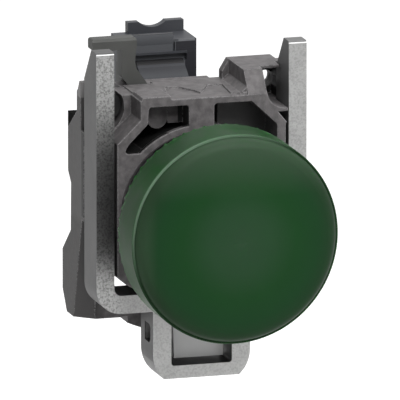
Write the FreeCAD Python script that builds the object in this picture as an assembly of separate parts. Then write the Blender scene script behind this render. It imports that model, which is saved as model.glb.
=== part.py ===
import FreeCAD, Part
import math
import os

os.makedirs("parts", exist_ok=True)

# Frame: millimetres, the front of the light faces -Y, +Z is up, +X is to the right.
# The origin lies on the main axis, on the rear face of the barrel's flange.

# Main layout
panel_space = 9.0          # from the flange to the front plane of the collar and the stirrup
panel_hole_radius = 11.15
run_gap = 0.05             # radial running clearance of turning pieces
slide_gap = 0.3            # side clearance of pieces that slide past each other
seat_gap = 0.05            # clearance between pieces that are stacked or slipped in

# Lens
lens_radius = 14.7
lens_skirt_length = 7.05
lens_dome_rise = 2.75
lens_shoulder_rise = 1.1
lens_edge_radius = 1.9
lens_rim_step = 0.3
lens_rim_bevel = 0.12
lens_wall = 1.3
lens_skirt_wall = 0.75
lens_thread_step = 1.55
lens_tooth_count = 60
lens_tooth_depth = 0.35
lens_tooth_length = 0.6

# Barrel, gasket, seal and light pipe
flange_thickness = 1.0
barrel_wall = 1.9
barrel_length = 18.0
spigot_length = 4.2
gasket_thickness = 1.0
seal_thickness = 0.9
seal_width = 1.4
pipe_wall = 1.2
pipe_lip = 0.4
pipe_length = 15.0

# Clamp stirrup
stirrup_half_width = 15.05
stirrup_depth = 6.0
arm_thickness = 2.55
arm_top_z = 23.5
arm_top_depth = 2.5
arm_taper_z = 18.8
arm_bevel = 0.3
web_top_z = -10.8
web_thickness = 2.55
outer_corner_radius = 3.6
inner_corner_radius = 1.0
loop_half_width = 6.95
loop_leg = 2.6
loop_bottom_z = -23.0
loop_bottom_thickness = 1.8
loop_corner_radius = 4.7
loop_flat_half = 5.4
loop_inner_radius = 0.4
loop_hole_front = 1.4
loop_hole_rear = 4.1
loop_hole_high_z = -15.5
loop_hole_low_z = -18.1
loop_hole_cut = 0.5

# Guide plate
guide_half_width = 3.8
guide_front = 1.6
guide_mark_depth = 0.4
guide_bottom_z = -20.5
guide_seat_height = 1.4
guide_mark_radius = 0.7
guide_mark_z = -15.2
guide_draft = 0.3

# Collar
arm_side_gap = 0.45
collar_top_z = 16.35
plateau_rise = 0.25
pad_rise = 0.5
pad_depth = 4.5
pad_right_x = -4.1
margin = 0.3
collar_side_top_left_z = 10.5
collar_side_top_right_z = 12.1
collar_left_shoulder_x = -8.7
collar_left_shoulder_z = 13.7
collar_right_shoulder_x = 8.66
collar_side_bottom_z = -8.1
collar_chamfer = 1.05
collar_bottom_z = -10.4
bottom_seat = 1.2
collar_depth = 13.4
collar_right_depth = 11.3
collar_wall = 0.9
lip_z = 13.75
lip_wall = 0.25
lip_depth = 1.1
rim_radius = 12.6
rim_chamfer = 0.55
rim_depth = 1.0
rim_undercut = 0.65
bridge_half_width = 1.8
window_depth = 10.2
shelf_depth = 5.6
shelf_left_x = 3.9
hub_depth = 3.0
hub_radius = 1.45
hub_x = -5.5
hub_z = 13.2
hub_block_left_x = -4.0
hub_block_z = 12.4
window_corner = 0.45
window_wall = 1.2
window_sill_z = 9.05
left_window_outer_x = -7.55
left_window_knee = (-7.7, 13.1)
left_window_slant = (-10.4, 10.4)
left_window_side_z = 9.7
right_window_outer_x = 7.2
right_window_high_z = 12.0
right_window_low_z = 6.6
# the plateau's wavy front edge, each point as X and depth behind the front plane
plateau_left_x = -3.7
plateau_edge = [(-3.2, 7.1), (-1.3, 6.7), (-0.1, 4.7), (0.6, 2.6), (2.8, 6.8), (4.9, 6.8), (4.5, 1.1)]
step_left_x = 4.7
step_rim = 1.2
rear_bore_radius = 8.4
spigot_radius = 9.6
lock_thickness = 2.4
spigot_tail = 0.6

# Collar pockets and flanks
flank_inset = 0.05
flank_thickness = 2.4
flank_front = 6.4
housing_top_z = 19.4
housing_left_x = 6.7
housing_front = 4.0
housing_lean = 2.4
ledge_width = 1.0
ledge_front = 0.6
ledge_rise = 0.2
rib_rise = 1.4
housing_rear = 10.8
housing_wall = 1.4
pocket_left_x = 9.4
pocket_bottom_z = 14.2
pocket_top_z = 19.0
pocket_corner = 2.6
screw_hole_radius = 1.15
screw_hole_x = 11.9
screw_hole_z = 16.4
housing_right_x = 13.05
housing_wall_right_x = 14.4
pocket_right_x = 12.75
left_front = 4.8
left_pocket_radius = 3.9
pocket_outset = 1.1
slope_top_z = -1.5
slope_top_reach = (0.05, 1.2)
slope_low_reach = (2.9, 5.8)
# the flanks' rear edge from the top down, each point as depth behind the front plane and height
flank_edge = [(8.5, 17.9), (9.7, 16.0), (9.8, 13.4), (14.2, 10.2), (14.2, 4.1), (12.7, 2.6), (12.9, -4.1),
              (17.0, -7.6), (17.0, -13.2)]
bottom_wall_z = -16.1
bottom_wall_thickness = 2.2
bottom_wall_front = 9.3
bottom_wall_rear = 14.9
bottom_boss_radius = 18.7

# Clamp screw
bearing_inset = 0.9
clamp_screw_z = 14.7
clamp_screw_radius = 1.45
clamp_collar_radius = 1.85
clamp_collar_length = 1.8
clamp_screw_length = 6.6
clamp_boss_radius = 2.4
clamp_boss_length = 2.2
clamp_slot = 0.7

# Lock lever
lever_left_x = -12.7
lever_right_x = -6.33
lever_stem_left_x = -8.5
lever_top_z = 23.1
lever_tab_z = 21.5
lever_bevel = 0.35
lever_waist = 0.27
lever_waist_z = 19.8
lever_foot_left_x = -7.58
lever_foot_right_x = -4.8
lever_foot_front = 10.0
lever_foot_rise = 1.2
lever_flare_z = 18.7
lever_thickness = 2.2
lever_root = 3.0
lever_ring_radius = 12.0
lever_clear = 0.15

# Light block
block_half_width = 5.2
block_split = 28.0
block_rear = 36.0
cover_bevel = 0.8
core_half_height = 11.8
block_wall = 1.2
block_top_z = 20.2
block_bottom_z = -18.8
lower_left_x = -3.1
tower_front = 20.0
tower_inset = 1.5
tower_floor = 1.2
guard_thickness = 1.3
guard_rise = 1.6
guard_left_x = -3.15
scallop_radius = 2.78
scallop_x = 0.4
scallop_depth = 0.8
ledge_step = 0.7
recess_low_z = 17.2
recess_high_z = 18.3
recess_left = 1.6
recess_right = 1.4
slope_right = 2.0
slope_low_z = 15.3
sill_thickness = 0.3
cheek_left_x = 1.8
foot_rise = 0.4
nose_radius = 6.4
nose_wall = 1.0
nose_front = 3.0

# Terminals
screw_radius = 1.5
screw_head_radius = 2.55
screw_head_height = 1.4
screw_length = 2.6
screw_head_bevel = 0.25
screw_slot_width = 0.6
screw_slot_length = 3.4
screw_slot_depth = 0.8
plate_thickness = 0.8
plate_half_width = 2.8
plate_front = 22.4
washer_thickness = 0.8
washer_half_width = 2.75
wire_hole_radius = 0.8
wire_hole_offset = 2.0
terminal_top_z = 15.6
terminal_bottom_z = -14.6
cavity_half_height = 3.45
latch_thickness = 1.2
latch_gap = 0.07
latch_height = 2.3
latch_lean = 1.5
blade_half_width = 1.4
blade_reach = 7.5

# Electronics
board_thickness = 1.6
board_half_height = 9.0
board_front = 19.5
board_rear = 33.0
lamp_radius = 2.5
lamp_base_radius = 3.0
lamp_front = -1.0
lamp_recess = 1.0
resistor_radius = 1.2
resistor_length = 6.0
resistor_inset = 9.0
rectifier_height = 2.2
rectifier_size = 5.0
rectifier_inset = 8.0


def at(depth):
    """Y of a plane that lies this far behind the collar's front plane."""
    return panel_space + depth


def vec(x, y, z):
    return FreeCAD.Vector(x, y, z)


def box(x0, x1, y0, y1, z0, z1):
    return Part.makeBox(x1 - x0, y1 - y0, z1 - z0, vec(x0, y0, z0))


def rod(radius, y0, y1, x=0.0, z=0.0):
    return Part.makeCylinder(radius, y1 - y0, vec(x, y0, z), vec(0, 1, 0))


def tube(outer, inner, y0, y1, x=0.0, z=0.0):
    return rod(outer, y0, y1, x, z).cut(rod(inner, y0, y1, x, z))


def cone(radius0, radius1, y0, y1, x=0.0, z=0.0):
    return Part.makeCone(radius0, radius1, y1 - y0, vec(x, y0, z), vec(0, 1, 0))


def front_outline(points, y0, y1):
    """Solid with an outline in X and Z, from y0 to y1."""
    corners = [vec(x, y0, z) for x, z in points]
    face = Part.Face(Part.makePolygon(corners + corners[:1]))
    return face.extrude(vec(0, y1 - y0, 0))


def side_outline(points, x0, x1):
    """Solid with an outline in Y and Z, from x0 to x1."""
    corners = [vec(x0, y, z) for y, z in points]
    face = Part.Face(Part.makePolygon(corners + corners[:1]))
    return face.extrude(vec(x1 - x0, 0, 0))


def round_y_edges(solid, radius, picks):
    """Round the edges along Y that pass through the given X, Z corners."""
    edges = []
    for edge in solid.Edges:
        ends = [vertex.Point for vertex in edge.Vertexes]
        if len(ends) != 2 or abs(ends[0].x - ends[1].x) > 1e-6 or abs(ends[0].z - ends[1].z) > 1e-6:
            continue
        if any(math.hypot(ends[0].x - x, ends[0].z - z) < 1e-3 for x, z in picks):
            edges.append(edge)
    return solid.makeFillet(radius, edges)


def save(name, shape):
    shape = shape.removeSplitter()
    if not shape.isValid():
        raise RuntimeError(name + " is not valid")
    shape.exportStep("parts/" + name + ".step")
    print(name, len(shape.Solids), "solid", round(shape.Volume, 1), "mm3")


# Fits that follow from the sizes above
lens_skirt_inner_radius = lens_radius - lens_skirt_wall
lens_thread_radius = lens_skirt_inner_radius - lens_thread_step
arm_inner = stirrup_half_width - arm_thickness
collar_half_width = arm_inner - arm_side_gap
flank_half_width = stirrup_half_width - flank_inset
clamp_screw_x = -(arm_inner - bearing_inset)
left_pocket_x = -(arm_inner + pocket_outset)
barrel_radius = panel_hole_radius - 2 * run_gap
barrel_bore = barrel_radius - barrel_wall
flange_radius = lens_skirt_inner_radius - 2 * run_gap
spigot_front = -flange_thickness - spigot_length
seal_front = -flange_thickness - seat_gap - seal_thickness
tower_rear = block_split - tower_inset
washer_front = plate_front + plate_thickness + seat_gap
head_front = washer_front + washer_thickness + seat_gap
collar_low_front = stirrup_depth + slide_gap
left_pocket_floor = stirrup_depth + clamp_collar_length + 4 * seat_gap
spigot_length_rear = lock_thickness + lever_clear + spigot_tail
block_front = collar_depth + spigot_length_rear + seat_gap
floor_reach = core_half_height - block_wall
lamp_rear = block_front - lamp_recess


def gear_outline(radius, depth, count, y0, y1):
    """Round solid with fine ribs along Y."""
    points = []
    for step in range(2 * count):
        angle = math.pi * step / count
        reach = radius if step % 2 else radius - depth
        points.append((reach * math.cos(angle), reach * math.sin(angle)))
    return front_outline(points, y0, y1)


def bow(centre_x, centre_y, radius, start, end):
    """Arc in the XY plane between two angles, counted from -Y towards +X."""
    points = []
    for angle in (start, (start + end) / 2, end):
        points.append(vec(centre_x + radius * math.sin(angle), centre_y - radius * math.cos(angle), 0))
    return Part.Arc(*points).toShape()


def lens_cap():
    rim_y = -lens_skirt_length
    crown_y = rim_y - lens_dome_rise
    # the crown is part of a ball, and a rounded shoulder leads from it to the rim
    reach = lens_radius - lens_rim_step
    rise = lens_dome_rise - lens_shoulder_rise
    crown_radius = (reach ** 2 + rise ** 2) / (2 * rise)
    crown_centre = crown_y + crown_radius
    shoulder_x = reach - lens_edge_radius
    lean = math.asin(shoulder_x / (crown_radius - lens_edge_radius))
    shoulder_y = crown_centre - (crown_radius - lens_edge_radius) * math.cos(lean)
    base_y = rim_y + lens_wall
    rest = [vec(reach, shoulder_y, 0), vec(reach, base_y, 0), vec(0, base_y, 0), vec(0, crown_y, 0)]
    ball = bow(0, crown_centre, crown_radius, 0, lean)
    shoulder = bow(shoulder_x, shoulder_y, lens_edge_radius, lean, math.pi / 2)
    outline = Part.Wire([ball, shoulder] + Part.makePolygon(rest).Edges)
    crown = Part.Face(outline).revolve(vec(0, 0, 0), vec(0, 1, 0), 360)
    skirt = rod(lens_radius, rim_y, -lens_tooth_length)
    front_edges = [e for e in skirt.Edges if e.BoundBox.YMax < rim_y + lens_rim_bevel]
    skirt = skirt.makeChamfer(lens_rim_bevel, front_edges)
    teeth = gear_outline(lens_radius, lens_tooth_depth, lens_tooth_count, -lens_tooth_length, 0)
    thread_bore = lens_thread_radius + run_gap
    hollow = cone(thread_bore - 3 * lens_wall, thread_bore, crown_y + lens_wall, base_y)
    hollow = hollow.fuse(rod(thread_bore, base_y, 0))
    hollow = hollow.fuse(rod(lens_skirt_inner_radius, seal_front - seat_gap, 0))
    return crown.fuse(skirt).fuse(teeth).cut(hollow)


def head_barrel():
    body = rod(flange_radius, -flange_thickness, 0)
    body = body.fuse(rod(lens_thread_radius, spigot_front, -flange_thickness))
    body = body.fuse(rod(barrel_radius, 0, barrel_length))
    return body.cut(rod(barrel_bore, spigot_front, barrel_length))


def panel_gasket():
    return tube(flange_radius, panel_hole_radius, 0, gasket_thickness)


def lens_seal():
    outer = lens_skirt_inner_radius - run_gap
    return tube(outer, outer - seal_width + run_gap, seal_front, seal_front + seal_thickness)


def light_pipe():
    outer = barrel_bore - seat_gap
    front = spigot_front - seat_gap - pipe_lip
    body = rod(outer, front, front + pipe_length)
    lip = rod(lens_thread_radius - pipe_wall, front, front + pipe_lip)
    bore = rod(outer - pipe_wall, front + pipe_wall, front + pipe_length)
    return body.fuse(lip).cut(bore)


def clamp_stirrup():
    out = stirrup_half_width
    inner = out - arm_thickness
    web_low = web_top_z - web_thickness
    loop_in = loop_half_width - loop_leg
    loop_floor = loop_bottom_z + loop_bottom_thickness
    half = [(inner, arm_top_z), (out, arm_top_z), (out, web_low), (loop_half_width, web_low),
            (loop_half_width, loop_bottom_z)]
    back = [(loop_in, loop_floor), (loop_in, web_top_z), (inner, web_top_z)]
    outline = half + [(-x, z) for x, z in reversed(half)]
    outline += [(-x, z) for x, z in reversed(back)] + back
    body = front_outline(outline, at(0), at(stirrup_depth))
    body = round_y_edges(body, outer_corner_radius, [(out, web_low), (-out, web_low)])
    body = round_y_edges(body, inner_corner_radius, [(inner, web_top_z), (-inner, web_top_z)])
    body = round_y_edges(body, loop_inner_radius, [(loop_in, loop_floor), (-loop_in, loop_floor)])
    # the loop's lower corners are arcs that meet the flat bottom at an angle
    centre_z = loop_bottom_z + math.sqrt(
        loop_corner_radius ** 2 - (loop_flat_half - loop_half_width + loop_corner_radius) ** 2)
    for side in (-1, 1):
        centre_x = side * (loop_half_width - loop_corner_radius)
        corner = box(min(centre_x, side * (out + 1)), max(centre_x, side * (out + 1)),
                     at(-1), at(stirrup_depth + 1), loop_bottom_z - 1, centre_z)
        arc = rod(loop_corner_radius, at(-1), at(stirrup_depth + 1), centre_x, centre_z)
        body = body.cut(corner.cut(arc))
    taper = side_outline([(at(arm_top_depth), arm_top_z), (at(stirrup_depth), arm_taper_z),
                          (at(stirrup_depth + 1), arm_taper_z), (at(stirrup_depth + 1), arm_top_z + 1),
                          (at(arm_top_depth), arm_top_z + 1)], -out - 1, out + 1)
    bevel = side_outline([(at(0), arm_top_z - arm_bevel), (at(arm_bevel), arm_top_z),
                          (at(0), arm_top_z + 1), (at(-1), arm_top_z)], -out - 1, out + 1)
    front, rear, cut = at(loop_hole_front), at(loop_hole_rear), loop_hole_cut
    hole = side_outline([(front + cut, loop_hole_high_z), (rear, loop_hole_high_z), (rear, loop_hole_low_z),
                         (front + cut, loop_hole_low_z), (front, loop_hole_low_z + cut),
                         (front, loop_hole_high_z - cut)], -out, out)
    return body.cut(taper).cut(bevel).cut(hole)


def guide_plate():
    top = collar_bottom_z - bottom_seat
    low = guide_half_width - guide_draft
    block = front_outline([(-guide_half_width, top), (guide_half_width, top), (low, guide_bottom_z),
                           (-low, guide_bottom_z)], at(guide_front), at(collar_low_front))
    mark = rod(guide_mark_radius, at(guide_front), at(guide_front + guide_mark_depth), 0, guide_mark_z)
    return block.cut(mark)


def frame_outline():
    return [
        (collar_left_shoulder_x, collar_top_z),
        (collar_left_shoulder_x, collar_left_shoulder_z),
        (-collar_half_width, collar_side_top_left_z),
        (-collar_half_width, collar_side_bottom_z),
        (-collar_half_width + collar_chamfer, collar_side_bottom_z - collar_chamfer),
        (-collar_half_width + 3 * collar_chamfer, collar_bottom_z),
        (collar_half_width - 3 * collar_chamfer, collar_bottom_z),
        (collar_half_width - collar_chamfer, collar_side_bottom_z - collar_chamfer),
        (collar_half_width, collar_side_bottom_z),
        (collar_half_width, collar_side_top_right_z),
        (collar_right_shoulder_x, collar_top_z),
    ]


def left_window():
    ceiling = collar_top_z - collar_wall
    wall = collar_half_width - window_wall
    return [(-bridge_half_width, ceiling), (left_window_outer_x, ceiling), left_window_knee,
            left_window_slant, (-wall, left_window_side_z), (-wall, window_sill_z),
            (-bridge_half_width, window_sill_z)]


def right_window():
    ceiling = collar_top_z - collar_wall
    wall = collar_half_width - window_wall
    return [(bridge_half_width, ceiling), (right_window_outer_x, ceiling), (wall, right_window_high_z),
            (wall, right_window_low_z), (bridge_half_width, right_window_low_z)]


def window_fittings():
    """What stands in the two hollows, up to their ceiling."""
    hub = rod(hub_radius, at(hub_depth), at(window_depth), hub_x, hub_z)
    root = box(hub_x - hub_radius, hub_x + hub_radius, at(hub_depth), at(window_depth), hub_z, collar_top_z)
    hub = hub.fuse(root)
    block = box(hub_block_left_x, -bridge_half_width, at(hub_depth), at(window_depth),
                hub_block_z, collar_top_z)
    shelf = box(shelf_left_x, collar_half_width, at(shelf_depth), at(window_depth), 0, collar_top_z)
    return hub.fuse(block).fuse(shelf)


def plan_outline(points, z0, z1):
    """Solid with an outline in X and depth behind the front plane, from z0 to z1."""
    corners = [vec(x, at(depth), z0) for x, depth in points]
    return Part.Face(Part.makePolygon(corners + corners[:1])).extrude(vec(0, 0, z1 - z0))


def top_relief():
    """Raised plateau and front pad on the collar's top face."""
    left = collar_left_shoulder_x + margin
    rear = collar_right_depth - margin
    front_edge = [(left, pad_depth), (plateau_left_x, pad_depth)] + plateau_edge
    rear_edge = [(housing_left_x, margin), (housing_left_x, rear), (pad_right_x, rear),
                 (pad_right_x, lever_foot_front - margin), (left, lever_foot_front - margin)]
    plateau = plan_outline(front_edge + rear_edge, collar_top_z - 1, collar_top_z + plateau_rise)
    pad = front_outline([(collar_left_shoulder_x, collar_top_z - margin), (left, collar_top_z + pad_rise),
                         (pad_right_x - margin, collar_top_z + pad_rise),
                         (pad_right_x, collar_top_z - margin)],
                        at(0), at(pad_depth))
    return plateau.fuse(pad)


def flank_outline():
    """Side view of a rear flank, as depth behind the front plane and height."""
    top_z = flank_edge[0][1]
    foot = [(bottom_wall_rear, bottom_wall_z), (flank_front, bottom_wall_z)]
    return [(flank_front, top_z)] + flank_edge + foot


def right_housing():
    """Block over the right corner, with a sloping front and a stepped left wall."""
    right_x = housing_right_x
    block = front_outline([(housing_left_x, collar_top_z - 1), (housing_left_x, housing_top_z),
                           (right_x, housing_top_z), (right_x, collar_side_top_right_z),
                           (collar_half_width, collar_side_top_right_z),
                           (collar_right_shoulder_x, collar_top_z - 1)],
                          at(0), at(housing_rear))
    # the front slopes back from the frame's edge to the pocket's rim
    lean = at(housing_lean)
    front = side_outline([(at(-1), collar_side_top_right_z - 1), (at(0), collar_side_top_right_z - 1),
                          (at(0), collar_top_z), (lean, housing_top_z), (lean, housing_top_z + 1),
                          (at(-1), housing_top_z + 1)], 0, flank_half_width)
    block = block.cut(front)
    rim = front_outline([(pocket_left_x, housing_top_z + 1), (pocket_left_x, pocket_top_z - 1),
                         (pocket_left_x + 1, pocket_bottom_z + 1), (flank_half_width, pocket_bottom_z),
                         (flank_half_width, housing_top_z + 1)], at(-1), at(housing_front))
    block = block.cut(rim)
    ledge_x = housing_left_x - ledge_width
    root_z = collar_top_z - 1
    ledge = front_outline([(ledge_x, root_z), (ledge_x, collar_top_z + ledge_rise),
                           (housing_left_x, collar_top_z + ledge_width), (housing_left_x + 1, collar_top_z)],
                          at(ledge_front), at(housing_rear))
    rib = front_outline([(ledge_x, root_z), (ledge_x, collar_top_z + rib_rise),
                         (housing_left_x, housing_top_z), (housing_left_x + 1, collar_top_z)],
                        at(housing_rear - housing_wall), at(housing_rear))
    wall = box(collar_half_width, housing_wall_right_x, at(housing_rear - housing_wall), at(housing_rear),
               collar_side_top_right_z, housing_top_z - 2 * margin)
    return block.fuse(ledge).fuse(rib).fuse(wall)


def fixing_collar():
    body = front_outline(frame_outline(), at(0), at(collar_depth))
    ring = rod(rim_radius, at(collar_low_front), at(collar_depth))
    seat = box(-guide_half_width, guide_half_width, at(collar_low_front), at(collar_depth),
               collar_bottom_z - bottom_seat - guide_seat_height, collar_bottom_z)
    body = body.fuse(ring).fuse(seat)
    body = body.fuse(top_relief())
    # right corner: a block with the screw pocket, and a stepped wall down to the top face
    right = right_housing()
    side_cut = box(arm_inner - slide_gap / 2, flank_half_width, at(-1),
                   at(collar_low_front), collar_bottom_z, housing_top_z + 1)
    body = body.fuse(right.cut(side_cut))
    # left corner: a lower block with the round pocket
    left = front_outline([(collar_left_shoulder_x + 1, collar_top_z), (-flank_half_width, collar_top_z),
                          (-flank_half_width, collar_side_top_left_z - 2),
                          (collar_left_shoulder_x + 1, collar_side_top_left_z - 2)],
                         at(left_front), at(housing_rear - 1))
    left_cut = box(-flank_half_width - 1, -stirrup_half_width + arm_thickness + slide_gap / 2, at(-1),
                   at(collar_low_front), collar_bottom_z, housing_top_z)
    body = body.fuse(left.cut(left_cut))
    # rear flanks, one on each side
    outline = [(at(depth), z) for depth, z in flank_outline()]
    inner = flank_half_width - flank_thickness
    for side in (-1, 1):
        near, far = sorted((side * inner, side * flank_half_width))
        body = body.fuse(side_outline(outline, near, far))
        near, far = sorted((side * collar_half_width - side, side * inner))
        link = box(near, far, at(flank_front), at(collar_depth),
                   collar_side_bottom_z, collar_side_top_left_z - 2)
        body = body.fuse(link)
    floor = box(-flank_half_width, flank_half_width, at(bottom_wall_front), at(bottom_wall_rear),
                bottom_wall_z, bottom_wall_z + bottom_wall_thickness)
    boss = rod(bottom_boss_radius, at(bottom_wall_front), at(bottom_wall_rear))
    boss = boss.common(box(-loop_half_width - 1, loop_half_width + 1, at(0), at(bottom_wall_rear + 1),
                           -bottom_boss_radius, bottom_wall_z + bottom_wall_thickness))
    body = body.fuse(floor).fuse(boss)
    # the lower front corners of the flanks slope back
    for side in (-1, 1):
        top = slope_face(side, slope_top_z, slope_top_reach)
        low = slope_face(side, bottom_wall_z - 0.5, slope_low_reach)
        body = body.cut(Part.makeLoft([top, low], True))
    # hollows, with a hub and a block in the left one and a shelf in the right one
    for window in (left_window(), right_window()):
        hollow = front_outline(window, at(-1), at(window_depth))
        corners = [(x, z) for x, z in window if math.hypot(x, z) > rim_radius + window_corner]
        hollow = round_y_edges(hollow, window_corner, corners)
        hollow = hollow.cut(rod(rim_radius, at(-1), at(rim_depth)))
        hollow = hollow.cut(rod(rim_radius - rim_undercut, at(-1), at(window_depth)))
        body = body.cut(hollow.cut(window_fittings()))
    body = body.cut(rod(panel_hole_radius, at(-1), barrel_length + seat_gap))
    body = body.cut(cone(panel_hole_radius + rim_chamfer, panel_hole_radius, at(0), at(rim_chamfer)))
    body = body.fuse(rod(spigot_radius, at(collar_depth) - 1, at(collar_depth + spigot_length_rear)))
    body = body.cut(rod(rear_bore_radius, at(0), at(collar_depth + spigot_length_rear + 1)))
    step = box(step_left_x, collar_half_width + 1, at(collar_right_depth), at(collar_depth + 1),
               spigot_radius + step_rim, housing_top_z + 1)
    body = body.cut(step)
    # screw pockets, the right one with a lip over a recess
    recess = front_outline([(collar_half_width - lip_depth, lip_z), (flank_half_width, lip_z),
                            (flank_half_width, collar_side_top_right_z - 1),
                            (collar_half_width + lip_wall, collar_side_top_right_z)],
                           at(-1), at(collar_low_front))
    body = body.cut(recess)
    pocket = box(pocket_left_x, pocket_right_x, at(-1), at(housing_rear - housing_wall),
                 pocket_bottom_z, pocket_top_z)
    pocket = round_y_edges(pocket, pocket_corner, [(pocket_left_x, pocket_bottom_z)])
    body = body.cut(pocket)
    body = body.cut(rod(screw_hole_radius, at(0), at(housing_rear + 1), screw_hole_x, screw_hole_z))
    body = body.cut(rod(left_pocket_radius, at(left_front) - 1, at(left_pocket_floor),
                        left_pocket_x, clamp_screw_z))
    boss_rear = at(housing_rear - 1 + clamp_boss_length)
    body = body.fuse(rod(clamp_boss_radius, at(left_pocket_floor), boss_rear, clamp_screw_x, clamp_screw_z))
    body = body.cut(rod(clamp_screw_radius + run_gap, at(0), boss_rear + 1, clamp_screw_x, clamp_screw_z))
    return body


def slope_face(side, z, reach):
    """Plan outline, at one height, of what the sloping front takes off a flank's inner and outer side."""
    near = side * (flank_half_width - flank_thickness - 0.2)
    far = side * (flank_half_width + 0.5)
    front = at(flank_front - 0.5)
    near_depth, far_depth = (flank_front + depth for depth in reach)
    corners = [vec(near, front, z), vec(far, front, z), vec(far, at(far_depth), z),
               vec(near, at(near_depth), z)]
    return Part.makePolygon(corners + corners[:1])


def clamp_screw():
    front = at(stirrup_depth)
    collar = rod(clamp_collar_radius, front, front + clamp_collar_length, clamp_screw_x, clamp_screw_z)
    rear = front + clamp_collar_length + clamp_screw_length
    shank = rod(clamp_screw_radius, front, rear, clamp_screw_x, clamp_screw_z)
    slot = box(clamp_screw_x - clamp_slot / 2, clamp_screw_x + clamp_slot / 2, rear - clamp_slot, rear + 1,
               clamp_screw_z - 2 * clamp_screw_radius, clamp_screw_z + 2 * clamp_screw_radius)
    return collar.fuse(shank).cut(slot)


def side_latch():
    """Black sprung tab behind the left pocket."""
    shoulder, rear = flank_outline()[3:5]
    low = [(at(shoulder[0]) + latch_gap, shoulder[1]), (at(rear[0]), rear[1] + latch_gap)]
    top_z = rear[1] + latch_height
    high = [(at(rear[0]), top_z), (at(shoulder[0] + latch_lean), top_z)]
    return side_outline(low + high, -flank_half_width, -flank_half_width + latch_thickness)


def lock_lever():
    front = at(collar_depth + lever_clear)
    rear = front + lock_thickness
    ring = rod(lever_ring_radius, front, rear)
    foot_z = collar_top_z + lever_clear
    # the handle stands over the collar's top, with a tab at its upper end
    handle = front_outline([(lever_foot_left_x, foot_z), (lever_foot_right_x, foot_z),
                            (lever_right_x, lever_flare_z), (lever_right_x - lever_waist, lever_waist_z),
                            (lever_right_x, lever_top_z - lever_foot_rise), (lever_right_x, lever_top_z),
                            (lever_left_x, lever_top_z), (lever_left_x, lever_tab_z),
                            (lever_stem_left_x, lever_tab_z), (lever_stem_left_x, foot_z + lever_foot_rise)],
                           at(lever_foot_front), at(lever_foot_front + lever_thickness))
    handle = round_y_edges(handle, lever_bevel, [(lever_left_x, lever_top_z), (lever_right_x, lever_top_z),
                                                 (lever_left_x, lever_tab_z)])
    bevel = side_outline([(at(lever_foot_front), lever_top_z - lever_bevel),
                          (at(lever_foot_front - 1), lever_top_z + 1),
                          (at(lever_foot_front) + lever_bevel, lever_top_z)],
                         lever_left_x - 1, lever_right_x + 1)
    # behind the collar a stem joins the handle to the ring
    web = box(lever_foot_left_x, lever_foot_right_x, at(lever_foot_front), rear, foot_z, lever_flare_z)
    web = web.common(front_outline([(lever_foot_left_x, foot_z), (lever_foot_right_x, foot_z),
                                    (lever_right_x, lever_flare_z), (lever_foot_left_x, lever_flare_z)],
                                   at(0), rear))
    stem = box(lever_foot_left_x, lever_foot_right_x, front, rear, lever_ring_radius - lever_root, foot_z)
    lever = handle.cut(bevel).fuse(web).fuse(stem).fuse(ring)
    return lever.cut(rod(spigot_radius + run_gap, front - 1, rear + 1))


def scallop_wall():
    """Rear guard of the upper terminal tower with its dip for a screwdriver."""
    rear = at(tower_rear)
    guard = box(guard_left_x, block_half_width - margin, rear - guard_thickness, rear,
                block_top_z - 1, block_top_z + guard_rise)
    dip_z = block_top_z + guard_rise - scallop_depth + scallop_radius
    return guard.cut(rod(scallop_radius, rear - guard_thickness - 1, rear + 1, scallop_x, dip_z))


def block_housing():
    w = block_half_width
    body = box(-w, w, at(block_front), at(block_split), -core_half_height, core_half_height)
    body = body.fuse(box(-w, w, at(tower_front), at(tower_rear), 0, block_top_z))
    body = body.fuse(box(lower_left_x, w, at(tower_front), at(tower_rear), block_bottom_z, 0))
    # stepped front of the upper tower: a sloping foot, a recess under a sill, and a groove above it
    slope = side_outline([(at(block_front), core_half_height), (at(tower_front), core_half_height),
                          (at(tower_front), recess_low_z + foot_rise),
                          (at(tower_front - ledge_step), recess_low_z),
                          (at(block_front), slope_low_z)], -w + recess_left, w - slope_right)
    body = body.fuse(slope)
    recess = box(-w + recess_left, w - recess_right, at(tower_front) - seat_gap, at(tower_front + ledge_step),
                 recess_low_z, recess_high_z)
    sill = box(-w + margin, w - recess_right, at(tower_front - sill_thickness), at(tower_front + ledge_step),
               recess_high_z, recess_high_z + sill_thickness)
    groove = box(cheek_left_x, cheek_left_x + margin, at(tower_front) - seat_gap, at(tower_front + margin),
                 recess_high_z + sill_thickness, block_top_z - margin)
    body = body.cut(recess).fuse(sill).cut(groove).fuse(scallop_wall())
    body = body.fuse(rod(nose_radius, at(nose_front), at(block_front + 1)))
    nose_bore_rear = at(block_front + block_wall / 2)
    body = body.cut(rod(nose_radius - nose_wall, at(nose_front + block_wall), nose_bore_rear))
    body = body.cut(rod(lamp_radius + seat_gap, at(nose_front - 1), at(block_front)))
    inner = w - block_wall
    cavity_front = at(block_front + block_wall)
    body = body.cut(box(-inner, inner, cavity_front, at(block_split + 1), -floor_reach, floor_reach))
    board_gap = board_thickness / 2 + seat_gap
    body = body.cut(box(-board_gap, board_gap, at(block_front - 1), cavity_front + 1,
                        -lamp_base_radius, lamp_base_radius))
    for x, z, edge in terminal_places():
        reach = plate_half_width + seat_gap
        body = body.cut(box(x - reach, x + reach, at(plate_front - tower_floor), at(block_split + 1),
                            z - cavity_half_height, z + cavity_half_height))
        for side in (-1, 1):
            hole = Part.makeCylinder(wire_hole_radius, 2 * cavity_half_height + block_wall,
                                     vec(x + side * wire_hole_offset, at(washer_front) + wire_hole_radius, z),
                                     vec(0, 0, edge))
            body = body.cut(hole)
        blade_low, blade_high = sorted((z, edge * (floor_reach - 1)))
        blade_gap = blade_half_width + seat_gap
        body = body.cut(box(-blade_gap, blade_gap, at(plate_front) - seat_gap,
                            at(plate_front + plate_thickness) + seat_gap, blade_low, blade_high))
    return body


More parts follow.
